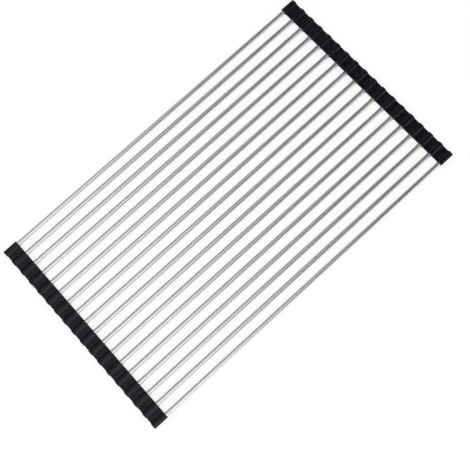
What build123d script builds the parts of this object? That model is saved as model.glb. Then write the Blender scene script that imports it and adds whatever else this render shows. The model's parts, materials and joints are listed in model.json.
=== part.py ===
"""Roll up dish drying rack: steel rods side by side, their ends held in two silicone strips.

Each strip is one moulding: a lobe with a blind socket around every rod end, and a thin web from lobe
to lobe. The rack rolls up because the webs bend. The strips are parted at the middle of every web,
where one half ends in a rounded nose about the bending axis and the other in a flat face just clear
of it, so that each rod with its two lobes is a link of its own.

Millimetres, +Z up. The rods lie along X, and rod 1 is at the -Y end. The origin is in the middle
of the rack, on the surface that it lies on.
"""

import os
from math import cos, radians, sin, sqrt, tan

from build123d import *

# The whole rack
overall_length = 520.0
rod_count = 18
rod_pitch = 17.5

# The rods
rod_diameter = 6.0

# The lobes of the silicone strips. The crest's radius is the shoulder's reach plus crest_ease.
strip_width = 21.5
side_wall = 1.35
crest_wall = 0.9
crest_ease = 1.1
foot_wall = 0.9
foot_width = 5.8
end_wall = 3.5
end_chamfer = 1.0

# The webs of the silicone strips
web_thickness = 2.0
web_rise = 1.45
web_setback = 0.8
flank_angle = 25.0
nose_angle = 30.0

# Fits
socket_clearance = 0.05
nose_clearance = 0.25

# Sizes that follow
rod_length = overall_length - 2 * end_wall
strip_face = overall_length / 2 - strip_width
socket_radius = rod_diameter / 2 + socket_clearance
socket_depth = strip_width - end_wall
rod_height = foot_wall + socket_radius
shoulder_reach = socket_radius + side_wall
crest_radius = shoulder_reach + crest_ease
crest_height = rod_height + socket_radius + crest_wall
crest_center = crest_height - crest_radius
shoulder_height = crest_center + sqrt(crest_radius**2 - shoulder_reach**2)
web_height = rod_height + web_rise
web_width = strip_width - web_setback
nose_radius = web_thickness / 2
nose_reach = nose_radius * cos(radians(nose_angle))
nose_rise = nose_radius * sin(radians(nose_angle))
bevel_start = nose_reach - (nose_radius - nose_rise) * tan(radians(nose_angle))
seat_gap = nose_radius + nose_clearance
web_top = web_height + nose_radius
web_bottom = web_height - nose_radius
flank_join = crest_radius * sin(radians(flank_angle))
flank_join_height = crest_center + crest_radius * cos(radians(flank_angle))
flank_reach = flank_join + (flank_join_height - web_top) / tan(radians(flank_angle))


def rod_place(number):
    """The Y of a rod's axis."""
    return (number - (rod_count + 1) / 2) * rod_pitch


def make_rod(number):
    """A plain round rod that reaches the bottom of both its sockets."""
    with BuildPart() as rod:
        with BuildSketch(Plane.YZ.offset(-rod_length / 2)):
            with Locations((rod_place(number), rod_height)):
                Circle(rod_diameter / 2)
        extrude(amount=rod_length)
    return rod


def lobe_profile(face, lobe_y):
    """A lobe seen along its rod: a broad round crest over sides that taper in to a flat foot."""
    with BuildSketch(face) as profile:
        with BuildLine():
            crest = ThreePointArc(
                (lobe_y - shoulder_reach, shoulder_height),
                (lobe_y, crest_height),
                (lobe_y + shoulder_reach, shoulder_height),
            )
            Polyline(
                crest @ 1,
                (lobe_y + foot_width / 2, 0),
                (lobe_y - foot_width / 2, 0),
                crest @ 0,
            )
        make_face()
    return profile.sketch


def nose_half_profile(face, lobe_y):
    """The half web that runs down the flank of a crest and out to a rounded nose on the bending axis."""
    axis_y = lobe_y + rod_pitch / 2
    with BuildSketch(face) as profile:
        with BuildLine():
            nose = ThreePointArc(
                (axis_y + nose_reach, web_height - nose_rise),
                (axis_y + nose_radius, web_height),
                (axis_y + nose_reach, web_height + nose_rise),
            )
            Polyline(
                nose @ 1,
                (axis_y + bevel_start, web_top),
                (lobe_y + flank_reach, web_top),
                (lobe_y + flank_join, flank_join_height),
                (lobe_y, flank_join_height),
                (lobe_y, web_bottom),
                (axis_y + bevel_start, web_bottom),
                nose @ 0,
            )
        make_face()
    return profile.sketch


def seat_half_profile(face, lobe_y):
    """The half web that runs down the flank of a crest and out to a flat seat, just clear of the nose."""
    seat_y = lobe_y - rod_pitch / 2 + seat_gap
    with BuildSketch(face) as profile:
        with BuildLine():
            Polyline(
                (lobe_y - flank_join, flank_join_height),
                (lobe_y, flank_join_height),
                (lobe_y, web_bottom),
                (seat_y, web_bottom),
                (seat_y, web_top),
                (lobe_y - flank_reach, web_top),
                close=True,
            )
        make_face()
    return profile.sketch


def make_strip_links(number):
    """One rod's stretch of both strips: a separate piece at each end of the rod."""
    lobe_y = rod_place(number)
    with BuildPart() as links:
        for side in (-1, 1):
            face = Plane.YZ.offset(side * strip_face)
            extrude(lobe_profile(face, lobe_y), amount=side * strip_width)
            outer_end = links.faces().sort_by(Axis.X)[0 if side < 0 else -1]
            chamfer(outer_end.edges(), end_chamfer)
            if number < rod_count:
                extrude(nose_half_profile(face, lobe_y), amount=side * web_width)
            if number > 1:
                extrude(seat_half_profile(face, lobe_y), amount=side * web_width)
            with BuildSketch(face):
                with Locations((lobe_y, rod_height)):
                    Circle(socket_radius)
            extrude(amount=side * socket_depth, mode=Mode.SUBTRACT)
    return links


os.makedirs("parts", exist_ok=True)

for number in range(1, rod_count + 1):
    rod = make_rod(number)
    rod.part.label = f"rod_{number:02d}"
    export_step(rod.part, f"parts/{rod.part.label}.step")
    links = make_strip_links(number)
    links.part.label = f"strip_links_{number:02d}"
    export_step(links.part, f"parts/{links.part.label}.step")
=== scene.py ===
import json
from math import acos, atan2, cos, hypot, pi, radians, sin, sqrt

import bmesh
import bpy
from mathutils import Matrix, Vector

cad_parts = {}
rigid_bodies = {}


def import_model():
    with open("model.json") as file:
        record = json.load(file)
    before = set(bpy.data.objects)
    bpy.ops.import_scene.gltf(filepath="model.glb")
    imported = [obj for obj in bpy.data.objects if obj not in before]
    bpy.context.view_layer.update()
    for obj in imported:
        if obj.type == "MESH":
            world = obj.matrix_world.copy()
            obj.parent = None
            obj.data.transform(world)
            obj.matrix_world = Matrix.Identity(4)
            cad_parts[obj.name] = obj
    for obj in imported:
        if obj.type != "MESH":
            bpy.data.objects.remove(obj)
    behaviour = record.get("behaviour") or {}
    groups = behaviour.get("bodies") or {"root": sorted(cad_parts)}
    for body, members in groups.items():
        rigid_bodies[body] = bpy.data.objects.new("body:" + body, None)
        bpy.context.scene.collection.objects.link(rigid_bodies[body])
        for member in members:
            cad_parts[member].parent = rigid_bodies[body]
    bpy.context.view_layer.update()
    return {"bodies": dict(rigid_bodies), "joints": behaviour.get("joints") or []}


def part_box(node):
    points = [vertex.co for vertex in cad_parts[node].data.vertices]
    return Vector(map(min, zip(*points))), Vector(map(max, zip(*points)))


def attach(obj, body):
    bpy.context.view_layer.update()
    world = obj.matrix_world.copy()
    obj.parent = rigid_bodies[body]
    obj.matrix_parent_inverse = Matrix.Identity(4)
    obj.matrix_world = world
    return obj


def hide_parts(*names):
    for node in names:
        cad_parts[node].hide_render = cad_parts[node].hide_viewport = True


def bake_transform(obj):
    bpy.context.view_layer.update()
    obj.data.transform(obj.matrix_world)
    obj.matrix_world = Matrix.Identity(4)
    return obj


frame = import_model()


# Steel rods
# Eighteen straight lengths of thin drawn stainless steel tube, cut square and with their cut edges
# broken. Each end is pushed to the bottom of a blind socket in a silicone strip, which holds it.

mm = 0.001
rod_count = len(frame["bodies"])
rod_numbers = range(1, rod_count + 1)
rod_low, rod_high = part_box("rod_01")
rod_reach = rod_high.x
rod_radius = (rod_high.z - rod_low.z) / 2
rod_height = (rod_high.z + rod_low.z) / 2
rod_wall = 0.5 * mm
rod_edge_break = 0.12 * mm
rod_edge_steps = 2
rod_sides = 72
rod_sharp_angle = radians(20)

# How far a face's normal must reach along X for the face to count as an end
end_facing = 0.9


def rod_place(number):
    """The Y of a rod's axis, from its CAD node."""
    low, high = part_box(f"rod_{number:02d}")
    return (low.y + high.y) / 2


def clear_selection():
    """Leaves nothing selected, in object mode."""
    if bpy.ops.object.mode_set.poll():
        bpy.ops.object.mode_set(mode="OBJECT")
    bpy.ops.object.select_all(action="DESELECT")


def name_new(name):
    """Names the piece that an operator has just added, and settles its place into its mesh."""
    piece = bpy.context.object
    piece.name = name
    piece.data.name = name
    bpy.ops.object.transform_apply(location=True, rotation=True, scale=True)
    return piece


def select(kind, wanted):
    """In edit mode, selects only the wanted points, edges or faces: kind is VERT, EDGE or FACE."""
    bpy.ops.mesh.select_mode(type=kind)
    bpy.ops.mesh.select_all(action="DESELECT")
    mesh = bmesh.from_edit_mesh(bpy.context.object.data)
    for element in {"VERT": mesh.verts, "EDGE": mesh.edges, "FACE": mesh.faces}[kind]:
        element.select_set(wanted(element))
    mesh.select_flush_mode()
    bmesh.update_edit_mesh(bpy.context.object.data)


def copy_of(piece, name, move, mirrored=False):
    """A copy with a mesh of its own, mirrored left to right if asked, and then moved in its mesh."""
    copy = bpy.data.objects.new(name, piece.data.copy())
    copy.data.name = name
    bpy.context.scene.collection.objects.link(copy)
    if mirrored:
        copy.data.transform(Matrix.Scale(-1, 4, (1, 0, 0)))
        copy.data.flip_normals()
    copy.data.transform(Matrix.Translation(move))
    return copy


def linear(hex_colour):
    """An sRGB hex colour as linear red, green, blue and a full alpha."""
    values = [int(hex_colour[i : i + 2], 16) / 255 for i in (1, 3, 5)]
    return [v / 12.92 if v <= 0.04045 else ((v + 0.055) / 1.055) ** 2.4 for v in values] + [1.0]


def add_node(tree, kind, settings=None, **inputs):
    """Adds a node with its settings and inputs. An input goes by its name, or by i and its number.
    A value that is another node's output is linked, and any other value is set."""
    node = tree.nodes.new(kind)
    for key, value in (settings or {}).items():
        setattr(node, key, value)
    for key, value in inputs.items():
        numbered = key[0] == "i" and key[1:].isdigit()
        socket = node.inputs[int(key[1:]) if numbered else key.replace("_", " ")]
        if isinstance(value, bpy.types.NodeSocket):
            tree.links.new(value, socket)
        else:
            socket.default_value = value
    return node


def new_material(name):
    """A node material, with its node tree and its Principled shader."""
    material = bpy.data.materials.new(name)
    material.use_nodes = True
    return material, material.node_tree, material.node_tree.nodes["Principled BSDF"]


# Drawn and polished stainless steel: a bright, slightly warm grey metal. The die and the polishing belt
# run along the tube, so its faint lines do too. They are drawn wider than they are, so that they show.
steel_dark = "#d5d3cf"
steel_bright = "#dfddd9"
steel_smoothest = 0.13
steel_roughest = 0.21
draw_line_width = 0.35 * mm
draw_line_length = 45 * mm
draw_line_depth = 0.02 * mm
draw_line_strength = 0.05
draw_line_detail = 3.0

# A noise texture keeps mostly between these two values
noise_low = 0.3
noise_high = 0.7

steel, tree, shader = new_material("drawn_stainless_steel")
place = add_node(tree, "ShaderNodeTexCoord")
along = add_node(
    tree,
    "ShaderNodeMapping",
    Vector=place.outputs["Object"],
    Scale=(1 / draw_line_length, 1 / draw_line_width, 1 / draw_line_width),
)
lines = add_node(
    tree, "ShaderNodeTexNoise", Vector=along.outputs["Vector"], Scale=1.0, Detail=draw_line_detail
)

# A Mix node's inputs 6 and 7 are its two colours, and output 2 is the colour that it makes of them
tint = add_node(
    tree,
    "ShaderNodeMix",
    {"data_type": "RGBA"},
    i0=lines.outputs["Fac"],
    i6=linear(steel_dark),
    i7=linear(steel_bright),
)
gloss = add_node(
    tree,
    "ShaderNodeMapRange",
    Value=lines.outputs["Fac"],
    From_Min=noise_low,
    From_Max=noise_high,
    To_Min=steel_smoothest,
    To_Max=steel_roughest,
)
grain = add_node(
    tree,
    "ShaderNodeBump",
    Height=lines.outputs["Fac"],
    Strength=draw_line_strength,
    Distance=draw_line_depth,
)
tree.links.new(tint.outputs[2], shader.inputs["Base Color"])
tree.links.new(gloss.outputs["Result"], shader.inputs["Roughness"])
tree.links.new(grain.outputs["Normal"], shader.inputs["Normal"])
shader.inputs["Metallic"].default_value = 1.0

clear_selection()
bpy.ops.mesh.primitive_cylinder_add(
    vertices=rod_sides,
    radius=rod_radius,
    depth=2 * rod_reach,
    location=(0, 0, rod_height),
    rotation=(0, radians(90), 0),
)
rod = name_new("rod_pattern")
bpy.ops.object.mode_set(mode="EDIT")
select("FACE", lambda face: abs(face.normal.x) > end_facing)
bpy.ops.mesh.inset(thickness=rod_wall)
bpy.ops.mesh.bridge_edge_loops()
select(
    "EDGE",
    lambda edge: all(
        abs(vert.co.x) > rod_reach - rod_wall
        and hypot(vert.co.y, vert.co.z - rod_height) > rod_radius - rod_wall / 2
        for vert in edge.verts
    ),
)
bpy.ops.mesh.bevel(offset=rod_edge_break, segments=rod_edge_steps)
bpy.ops.object.mode_set(mode="OBJECT")
bpy.ops.object.shade_smooth_by_angle(angle=rod_sharp_angle)
rod.data.materials.append(steel)

for number in rod_numbers:
    tube = copy_of(rod, f"tube_{number:02d}", (0, rod_place(number), 0))
    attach(tube, f"link_{number:02d}")
    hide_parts(f"rod_{number:02d}")
bpy.data.objects.remove(rod)


# Lobes of the silicone strips
# Each strip is one moulding of black silicone rubber. It has a lobe round every rod end, with a broad
# crest, a flat foot and a blind socket, and the crest runs down into the web in a hollow root.

links_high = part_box("strip_links_02")[1]
strip_reach = links_high.x
strip_width = 21.5 * mm
strip_face = strip_reach - strip_width
crest_height = links_high.z
crest_radius = 6.0 * mm
crest_middle = Vector((strip_face, 0, crest_height - crest_radius))
shoulder_reach = 4.4 * mm
shoulder_height = 5.7 * mm
shoulder_round = 1.0 * mm
foot_half = 2.9 * mm
foot_round = 0.5 * mm
end_round = 1.4 * mm
edge_round = 0.25 * mm
root_round = 2.55 * mm
under_round = 0.8 * mm
socket_clearance = 0.05 * mm
socket_radius = rod_radius + socket_clearance
socket_mouth = 0.3 * mm

# The webs lie just under the hinges' height, which gives the crests the steep flanks that they show
web_drop = 0.5 * mm
web_height = frame["joints"][0]["pos_m"][2] - web_drop
web_thickness = 2.0 * mm
web_top = web_height + web_thickness / 2
web_bottom = web_height - web_thickness / 2
web_setback = 0.8 * mm
web_end = strip_reach - web_setback

# Where a lobe's mesh ends and a web's begins, out from the rod's axis
web_seam = 5.6 * mm

# How finely each round is drawn
crest_steps = 9
flank_steps = 5
shoulder_steps = 6
foot_steps = 4
root_steps = 9
under_steps = 5
end_steps = 6
edge_steps = 3

# A narrow strip of faces at each end keeps the end's shading off the long faces
shading_step = 0.6 * mm
strip_sharp_angle = radians(35)

# How close two points lie to count as one place when they are chosen, and when they are merged
near = 0.01 * mm
joined = 0.002 * mm

# The places where the straight and round stretches of a lobe's section meet, on its +Y side
side_up = Vector((0, shoulder_reach - foot_half, shoulder_height)).normalized()
side_out = Vector((0, side_up.z, -side_up.y))
side_start = Vector((strip_face, foot_half, 0))
side_angle = atan2(side_out.y, side_out.z)
root_angle = acos(1 - (crest_height - web_top) / (crest_radius + root_round))
root_middle = Vector((strip_face, (crest_radius + root_round) * sin(root_angle), web_top + root_round))
root_join = crest_middle + crest_radius * Vector((0, sin(root_angle), cos(root_angle)))
inner_start = side_start - shoulder_round * side_out - crest_middle
climb = inner_start.dot(side_up)
climb = -climb + sqrt(climb**2 - inner_start.length_squared + (crest_radius - shoulder_round) ** 2)
shoulder_middle = crest_middle + inner_start + climb * side_up
shoulder_angle = atan2(shoulder_middle.y, shoulder_middle.z - crest_middle.z)
under_climb = (web_bottom - under_round * (1 + side_out.z)) / side_up.z
under_join = side_start + under_climb * side_up
under_middle = under_join + under_round * side_out
foot_climb = foot_round * (1 + side_out.z) / side_up.z
foot_join = side_start + foot_climb * side_up
foot_middle = foot_join - foot_round * side_out

# Moulded silicone rubber: black with a trace of blue, and smooth enough to mirror the light softly. Its
# IOR lies a little under the usual 1.41, to match its dark tones. The mould leaves a fine orange peel,
# drawn twice as coarse as it is so that it shows up close, and a faint mottling.
silicone_dark = "#050510"
silicone_light = "#080813"
silicone_smoothest = 0.15
silicone_roughest = 0.21
silicone_ior = 1.36
peel_size = 0.5 * mm
peel_depth = 0.05 * mm
peel_strength = 0.25
peel_detail = 4.0
mottle_size = 6 * mm
mottle_detail = 2.0

silicone, tree, shader = new_material("black_moulded_silicone")
place = add_node(tree, "ShaderNodeTexCoord")
peel = add_node(
    tree,
    "ShaderNodeTexNoise",
    Vector=place.outputs["Object"],
    Scale=1 / peel_size,
    Detail=peel_detail,
)
mottle = add_node(
    tree,
    "ShaderNodeTexNoise",
    Vector=place.outputs["Object"],
    Scale=1 / mottle_size,
    Detail=mottle_detail,
)
tint = add_node(
    tree,
    "ShaderNodeMix",
    {"data_type": "RGBA"},
    i0=mottle.outputs["Fac"],
    i6=linear(silicone_dark),
    i7=linear(silicone_light),
)
gloss = add_node(
    tree,
    "ShaderNodeMapRange",
    Value=mottle.outputs["Fac"],
    From_Min=noise_low,
    From_Max=noise_high,
    To_Min=silicone_smoothest,
    To_Max=silicone_roughest,
)
grain = add_node(
    tree,
    "ShaderNodeBump",
    Height=peel.outputs["Fac"],
    Strength=peel_strength,
    Distance=peel_depth,
)
tree.links.new(tint.outputs[2], shader.inputs["Base Color"])
tree.links.new(gloss.outputs["Result"], shader.inputs["Roughness"])
tree.links.new(grain.outputs["Normal"], shader.inputs["Normal"])
shader.inputs["IOR"].default_value = silicone_ior


def line_to(point):
    """In edit mode, draws on from the selected point in a straight line."""
    mesh = bmesh.from_edit_mesh(bpy.context.object.data)
    last = next(vert.co.copy() for vert in mesh.verts if vert.select)
    bpy.ops.mesh.extrude_vertices_move(TRANSFORM_OT_translate={"value": point - last})


def arc_about(middle, turn, steps):
    """In edit mode, draws on from the selected point in an arc, from +Z towards +Y for a positive turn."""
    bpy.ops.mesh.spin(steps=steps, angle=turn, center=middle, axis=(1, 0, 0))


def join_points():
    """In edit mode, merges points that lie in the same place."""
    bpy.ops.mesh.select_all(action="SELECT")
    bpy.ops.mesh.remove_doubles(threshold=joined)


def draw_lobe_half():
    """In edit mode, draws the +Y half of a lobe's section, with a point wherever the web will meet it."""
    bpy.ops.mesh.select_mode(type="VERT")
    bpy.ops.mesh.select_all(action="SELECT")
    bpy.ops.mesh.merge(type="CENTER")
    arc_about(crest_middle, root_angle, crest_steps)
    arc_about(crest_middle, shoulder_angle - root_angle, flank_steps)
    arc_about(shoulder_middle, side_angle - shoulder_angle, shoulder_steps)
    line_to(under_join)
    line_to(foot_join)
    arc_about(foot_middle, pi - side_angle, foot_steps)
    line_to(Vector((strip_face, 0, 0)))
    line_to(Vector((strip_face, 0, crest_height)))
    join_points()
    bpy.ops.mesh.select_all(action="SELECT")
    bpy.ops.mesh.edge_face_add()


def draw_root():
    """In edit mode, draws the root and the first of the web, between the crest and the lobe's side."""
    select("VERT", lambda vert: (vert.co - root_join).length < near)
    arc_about(root_middle, -root_angle, root_steps)
    line_to(Vector((strip_face, web_seam, web_top)))
    line_to(Vector((strip_face, web_seam, web_bottom)))
    line_to(Vector((strip_face, under_middle.y, web_bottom)))
    arc_about(under_middle, side_angle - pi, under_steps)
    join_points()
    select(
        "EDGE",
        lambda edge: all(
            (vert.co - under_join).length < near
            or (vert.co.y > root_join.y - near and vert.co.z > under_join.z - near)
            for vert in edge.verts
        ),
    )
    bpy.ops.mesh.edge_face_add()


def make_half(rooted):
    """The +Y half of a link, open in the middle: its section drawn out to the outer end of the strip."""
    clear_selection()
    bpy.ops.mesh.primitive_plane_add(size=near, location=(strip_face, 0, crest_height))
    half = name_new("half_pattern")
    bpy.ops.object.mode_set(mode="EDIT")
    draw_lobe_half()
    if rooted:
        draw_root()
    bpy.ops.mesh.select_mode(type="FACE")
    bpy.ops.mesh.select_all(action="SELECT")
    for run in (shading_step, web_end - strip_face - 2 * shading_step, shading_step):
        bpy.ops.mesh.extrude_region_move(TRANSFORM_OT_translate={"value": (run, 0, 0)})
    bpy.ops.mesh.select_all(action="SELECT")
    bpy.ops.mesh.normals_make_consistent(inside=False)

    # The lobe goes on past the web's end and is rounded off: each step is further out and smaller
    select(
        "FACE",
        lambda face: all(vert.co.x > web_end - near for vert in face.verts)
        and min(vert.co.y for vert in face.verts) < near,
    )
    lobe_middle = Vector((web_end, 0, crest_height / 2))
    size = 1.0
    for step in range(1, end_steps + 1):
        turn = radians(90) * step / end_steps
        next_size = 1 - (1 - cos(turn)) * end_round / lobe_middle.z
        run = web_setback * (sin(turn) - sin(radians(90) * (step - 1) / end_steps))
        shrink = next_size / size
        bpy.ops.mesh.extrude_region_move(TRANSFORM_OT_translate={"value": (run, 0, 0)})
        bpy.ops.transform.resize(value=(1, shrink, shrink), center_override=lobe_middle)
        size = next_size

    # No face closes the half in the middle, where the other half joins it
    select("FACE", lambda face: all(abs(vert.co.y) < near for vert in face.verts))
    bpy.ops.mesh.delete(type="FACE")
    bpy.ops.object.mode_set(mode="OBJECT")
    return half


def make_socket_pin():
    """The pin of the mould that leaves the blind socket, flared at the socket's mouth."""
    clear_selection()
    pin_start = strip_face + socket_mouth
    bpy.ops.mesh.primitive_cylinder_add(
        vertices=rod_sides,
        radius=socket_radius,
        depth=rod_reach - pin_start,
        location=((rod_reach + pin_start) / 2, 0, rod_height),
        rotation=(0, radians(90), 0),
    )
    pin = name_new("socket_pin")
    bpy.ops.object.mode_set(mode="EDIT")
    select("FACE", lambda face: face.normal.x < -end_facing)
    flare = 2 * socket_mouth
    grown = 1 + flare / socket_radius
    bpy.ops.mesh.extrude_region_move(TRANSFORM_OT_translate={"value": (-flare, 0, 0)})
    bpy.ops.transform.resize(value=(1, grown, grown), center_override=(0, 0, rod_height))
    bpy.ops.object.mode_set(mode="OBJECT")
    return pin


def make_strip_link(low_rooted, high_rooted):
    """A lobe with its roots and its socket, on the right-hand strip, about Y = 0."""
    low_half = make_half(low_rooted)
    bpy.ops.object.mode_set(mode="EDIT")
    bpy.ops.mesh.select_all(action="SELECT")
    bpy.ops.transform.mirror(constraint_axis=(False, True, False), center_override=(0, 0, 0))
    bpy.ops.object.mode_set(mode="OBJECT")
    piece = make_half(high_rooted)
    low_half.select_set(True)
    bpy.ops.object.join()
    bpy.ops.object.mode_set(mode="EDIT")
    join_points()
    bpy.ops.mesh.normals_make_consistent(inside=False)

    # The inner end becomes one face with eased edges, except where the web goes on
    select("FACE", lambda face: all(vert.co.x < strip_face + near for vert in face.verts))
    bpy.ops.mesh.dissolve_faces()
    select(
        "EDGE",
        lambda edge: all(vert.co.x < strip_face + near for vert in edge.verts)
        and not all(abs(abs(vert.co.y) - web_seam) < near for vert in edge.verts),
    )
    bpy.ops.mesh.bevel(offset=edge_round, segments=edge_steps)
    bpy.ops.object.mode_set(mode="OBJECT")

    # The pin leaves the socket
    pin = make_socket_pin()
    modifier = piece.modifiers.new("socket", "BOOLEAN")
    modifier.operation = "DIFFERENCE"
    modifier.solver = "EXACT"
    modifier.object = pin
    clear_selection()
    piece.select_set(True)
    bpy.context.view_layer.objects.active = piece
    bpy.ops.object.modifier_apply(modifier=modifier.name)
    bpy.data.objects.remove(pin)
    bpy.ops.object.shade_smooth_by_angle(angle=strip_sharp_angle)
    piece.data.materials.append(silicone)
    return piece


lobe_patterns = {
    "first": make_strip_link(False, True),
    "inner": make_strip_link(True, True),
    "last": make_strip_link(True, False),
}
for number in rod_numbers:
    kind = "first" if number == 1 else "last" if number == rod_count else "inner"
    for side in ("left", "right"):
        lobe = copy_of(
            lobe_patterns[kind],
            f"{side}_lobe_{number:02d}",
            (0, rod_place(number), 0),
            mirrored=side == "left",
        )
        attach(lobe, f"link_{number:02d}")
        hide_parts(f"strip_links_{number:02d}")
for pattern in lobe_patterns.values():
    bpy.data.objects.remove(pattern)


# Webs of the silicone strips
# The thin flat stretches between lobes, part of the same moulding. They are the hinges of the rack:
# they bend when it is rolled up. Each is placed at its joint's axis, flat as at rest.

pitch = rod_place(2) - rod_place(1)
web_span = pitch - 2 * web_seam
web_steps = 14

clear_selection()
bpy.ops.mesh.primitive_cube_add(size=1, location=((strip_face + web_end) / 2, 0, web_height))
bpy.context.object.scale = (web_end - strip_face, web_span, web_thickness)
web_pattern = name_new("web_pattern")
bpy.ops.object.mode_set(mode="EDIT")
select(
    "EDGE",
    lambda edge: all(vert.co.x < strip_face + near for vert in edge.verts)
    and abs(edge.verts[0].co.y - edge.verts[1].co.y) > web_span / 2,
)
bpy.ops.mesh.bevel(offset=edge_round, segments=edge_steps)

# The cuts along its length divide the web into narrow rows of faces
for step in range(1, web_steps):
    cut = web_span * (step / web_steps - 1 / 2)
    bpy.ops.mesh.select_all(action="SELECT")
    bpy.ops.mesh.bisect(plane_co=(0, cut, 0), plane_no=(0, 1, 0))
bpy.ops.mesh.select_all(action="SELECT")
bpy.ops.mesh.bisect(plane_co=(strip_face + shading_step, 0, 0), plane_no=(1, 0, 0))
bpy.ops.object.mode_set(mode="OBJECT")
bpy.ops.object.shade_smooth_by_angle(angle=strip_sharp_angle)
web_pattern.data.materials.append(silicone)

for joint in frame["joints"]:
    number = int(joint["parent"][-2:])
    axis = Vector(joint["pos_m"])
    for side in ("left", "right"):
        web = copy_of(
            web_pattern, f"{side}_web_{number:02d}", (0, axis.y, 0), mirrored=side == "left"
        )
        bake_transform(web)
bpy.data.objects.remove(web_pattern)


# Floor
# A plain sweep of matt white paper, wide enough to fill every view, that takes the rack's soft shadow.
# It is mixed with plain white for the camera, to make the white background, and less in reflections.

floor_size = 60.0
paper_colour = "#f4f4f4"
paper_roughness = 0.9
white_to_camera = 0.78
white_in_reflections = 0.3

clear_selection()
bpy.ops.mesh.primitive_plane_add(size=floor_size, location=(0, 0, 0))
floor = name_new("studio_floor")
paper, tree, shader = new_material("white_paper_sweep")
shader.inputs["Base Color"].default_value = linear(paper_colour)
shader.inputs["Roughness"].default_value = paper_roughness
shader.inputs["Specular IOR Level"].default_value = 0.0
glow = add_node(tree, "ShaderNodeEmission", Color=linear("#ffffff"), Strength=1.0)
seen = add_node(tree, "ShaderNodeLightPath")
reflected = add_node(
    tree,
    "ShaderNodeMath",
    {"operation": "MULTIPLY"},
    i0=seen.outputs["Is Glossy Ray"],
    i1=white_in_reflections,
)
share = add_node(
    tree,
    "ShaderNodeMath",
    {"operation": "MULTIPLY_ADD"},
    i0=seen.outputs["Is Camera Ray"],
    i1=white_to_camera,
    i2=reflected.outputs[0],
)
mixed = add_node(
    tree,
    "ShaderNodeMixShader",
    i0=share.outputs[0],
    i1=shader.outputs["BSDF"],
    i2=glow.outputs["Emission"],
)
tree.links.new(mixed.outputs["Shader"], tree.nodes["Material Output"].inputs["Surface"])
floor.data.materials.append(paper)


# Room
# A white studio all round. It lights the rack a little below full white, and is full white to the
# camera and in reflections.

room_light = 0.86
room_colour = "#ffffff"

scene = bpy.context.scene
world = bpy.data.worlds.new("white_studio")
scene.world = world
world.use_nodes = True
tree = world.node_tree
background = tree.nodes["Background"]
background.inputs["Color"].default_value = linear(room_colour)
seen = add_node(tree, "ShaderNodeLightPath")
direct = add_node(
    tree,
    "ShaderNodeMath",
    {"operation": "MAXIMUM"},
    i0=seen.outputs["Is Camera Ray"],
    i1=seen.outputs["Is Glossy Ray"],
)
direct = add_node(
    tree,
    "ShaderNodeMath",
    {"operation": "MAXIMUM"},
    i0=direct.outputs[0],
    i1=seen.outputs["Is Transmission Ray"],
)
strength = add_node(
    tree, "ShaderNodeMapRange", Value=direct.outputs[0], To_Min=room_light, To_Max=1.0
)
tree.links.new(strength.outputs["Result"], background.inputs["Strength"])


# Soft box
# One large soft box over the near left side gives the rack its soft shadow. Reflections don't show it:
# there the graded ceiling stands in for it.

box_width = 3.0
box_depth = 3.6
box_power = 50
box_place = Vector((-1.25, -1.5, 3.0))

light = bpy.data.lights.new("soft_box", "AREA")
light.shape = "RECTANGLE"
light.size = box_width
light.size_y = box_depth
light.energy = box_power
lamp = bpy.data.objects.new("soft_box", light)
scene.collection.objects.link(lamp)
lamp.location = box_place
lamp.visible_glossy = False


# Ceiling
# A glowing sheet, graded in brightness, that only reflections see: painted reflections of light and shade
# for the rods and the silicone. It is bright over the soft box's side, with a dark band to the right of
# that and a dimmer far side, which gives the rods their light and dark lines.

# Its reach and its grading go by place divided by height, so by the direction seen from the rack
ceiling_height = 3.2
ceiling_low = Vector((-3.0, -8.0))
ceiling_high = Vector((3.0, 9.0))
ceiling_middle = ceiling_height * (ceiling_low + ceiling_high) / 2
ceiling_spread = ceiling_height * (ceiling_high - ceiling_low)
graded_from = -0.3
graded_to = 1.1

# The brightness from left to right, in steps of a direction and its value: over the near side, towards
# the horizon on that side, and over the far side
near_steps = (
    (-0.1, 1.4),
    (0.05, 0.9),
    (0.15, 0.5),
    (0.27, 0.28),
    (0.37, 0.03),
    (0.48, 0.0),
    (0.56, 0.95),
    (0.66, 1.3),
)
horizon_steps = ((-0.3, 1.4), (-0.05, 0.6), (0.15, 0.25), (0.35, 0.0), (0.57, 0.05), (0.78, 1.2))
far_steps = ((0.2, 0.68), (0.45, 0.68), (0.9, 0.3))

# The near side passes over into the horizon between these, and into the far side along a slant
horizon_from = -1.4
horizon_to = -2.4
near_slant = -1.5
near_until = -0.35
far_after = 0.3

# The far side darkens between these, down to this share
dusk_from = 1.1
dusk_to = 2.2
dusk_share = 0.12

clear_selection()
bpy.ops.mesh.primitive_plane_add(size=1, location=(*ceiling_middle, ceiling_height))
bpy.context.object.scale = (*ceiling_spread, 1)
ceiling = name_new("glowing_reflection_ceiling")
graded, tree, shader = new_material("graded_glowing_ceiling")
tree.nodes.remove(shader)
place = add_node(tree, "ShaderNodeTexCoord")
direction = add_node(
    tree,
    "ShaderNodeMapping",
    Vector=place.outputs["Object"],
    Scale=(1 / ceiling_height, 1 / ceiling_height, 1),
)
direction = add_node(tree, "ShaderNodeSeparateXYZ", Vector=direction.outputs["Vector"])
across = add_node(
    tree,
    "ShaderNodeMapRange",
    Value=direction.outputs["X"],
    From_Min=graded_from,
    From_Max=graded_to,
)
gradings = []
for steps in (near_steps, horizon_steps, far_steps):
    ramp = add_node(tree, "ShaderNodeValToRGB", Fac=across.outputs["Result"])
    stops = ramp.color_ramp.elements
    while len(stops) < len(steps):
        stops.new(1.0)
    brightest = max(value for _, value in steps)
    for stop, (where, value) in zip(stops, steps):
        stop.position = (where - graded_from) / (graded_to - graded_from)
        stop.color = (value / brightest, value / brightest, value / brightest, 1)
    grading = add_node(
        tree, "ShaderNodeMath", {"operation": "MULTIPLY"}, i0=ramp.outputs["Color"], i1=brightest
    )
    gradings.append(grading.outputs[0])
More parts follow.
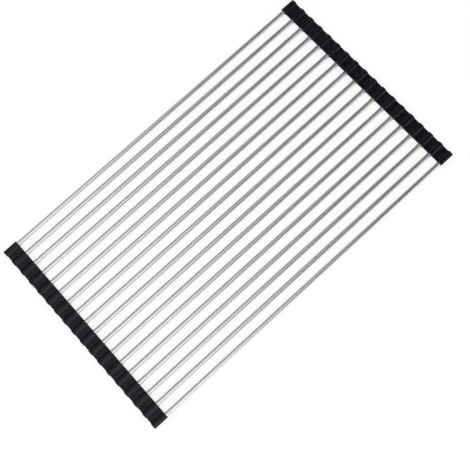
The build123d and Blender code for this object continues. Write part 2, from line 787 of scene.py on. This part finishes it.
near_grading, horizon_grading, far_grading = gradings

to_horizon = add_node(
    tree,
    "ShaderNodeMapRange",
    Value=direction.outputs["Y"],
    From_Min=horizon_from,
    From_Max=horizon_to,
)
near_side = add_node(
    tree,
    "ShaderNodeMix",
    {"data_type": "FLOAT"},
    i0=to_horizon.outputs["Result"],
    i2=near_grading,
    i3=horizon_grading,
)
dusk = add_node(
    tree,
    "ShaderNodeMapRange",
    Value=direction.outputs["Y"],
    From_Min=dusk_from,
    From_Max=dusk_to,
    To_Min=1.0,
    To_Max=dusk_share,
)
far_side = add_node(
    tree, "ShaderNodeMath", {"operation": "MULTIPLY"}, i0=far_grading, i1=dusk.outputs["Result"]
)
slanted = add_node(
    tree,
    "ShaderNodeMath",
    {"operation": "MULTIPLY_ADD"},
    i0=direction.outputs["X"],
    i1=near_slant,
    i2=direction.outputs["Y"],
)
nearness = add_node(
    tree,
    "ShaderNodeMapRange",
    Value=slanted.outputs[0],
    From_Min=near_until,
    From_Max=far_after,
    To_Min=1.0,
    To_Max=0.0,
)
brightness = add_node(
    tree,
    "ShaderNodeMix",
    {"data_type": "FLOAT"},
    i0=nearness.outputs["Result"],
    i2=far_side.outputs[0],
    i3=near_side.outputs[0],
)
# The sheet's brightness is emission seen only in reflections: painted light and shade, not a lamp
glow = add_node(
    tree, "ShaderNodeEmission", Color=linear("#ffffff"), Strength=brightness.outputs[0]
)
tree.links.new(glow.outputs["Emission"], tree.nodes["Material Output"].inputs["Surface"])
ceiling.data.materials.append(graded)
ceiling.visible_camera = False
ceiling.visible_diffuse = False
ceiling.visible_shadow = False


# Camera
# It hangs over the rack, low and left of its middle, turned so that the rods run up to the right. Its
# place, view and lens were fitted to the rods' ends and the strips' edges in the photo.

camera_place = Vector((-127.08, -247.94, 1061.66)) * mm
camera_view = Vector((0.09806, 0.19408, -0.97607))
camera_up = Vector((0.66633, 0.71570, 0.20925))
camera_lens = 63.78
camera_sensor = 36.0

lens = bpy.data.cameras.new("camera")
lens.sensor_width = camera_sensor
lens.lens = camera_lens
camera = bpy.data.objects.new("camera", lens)
scene.collection.objects.link(camera)
back = -camera_view.normalized()
up = (camera_up - camera_up.dot(back) * back).normalized()
right = up.cross(back)
camera.matrix_world = Matrix.Translation(camera_place) @ Matrix((right, up, back)).transposed().to_4x4()
scene.camera = camera
scene.view_settings.view_transform = "Standard"
